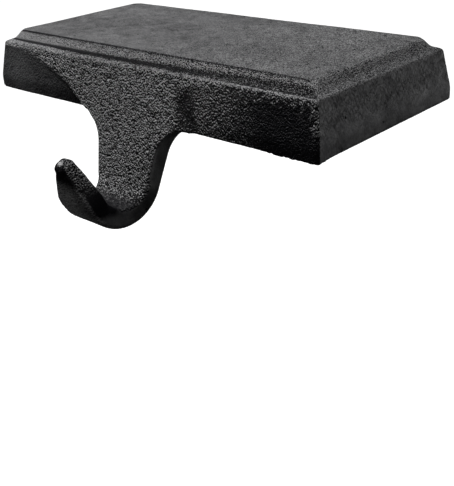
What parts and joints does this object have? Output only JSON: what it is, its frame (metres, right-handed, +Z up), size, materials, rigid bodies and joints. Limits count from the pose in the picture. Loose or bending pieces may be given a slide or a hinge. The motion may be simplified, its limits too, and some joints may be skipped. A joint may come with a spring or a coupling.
{
  "type": "mantel stocking holder",
  "caption": "Cast iron mantel stocking holder: a heavy moulded plinth rests on the shelf, and a flared front leg runs down into an upturned hook for a stocking.",
  "frame": {"origin": "middle of the plinth's flat underside, which lies on the shelf", "axes": "+X along the plinth, -Y to the front where the leg and hook are, +Z up"},
  "size_m": [0.13, 0.091, 0.0453],
  "materials": {
    "black_cast_iron": "satin black paint over sand-cast iron, pebbled on the front and smoother on top"
  },
  "bodies": {
    "root": {"holder_casting": "black_cast_iron"}
  },
  "joints": []
}
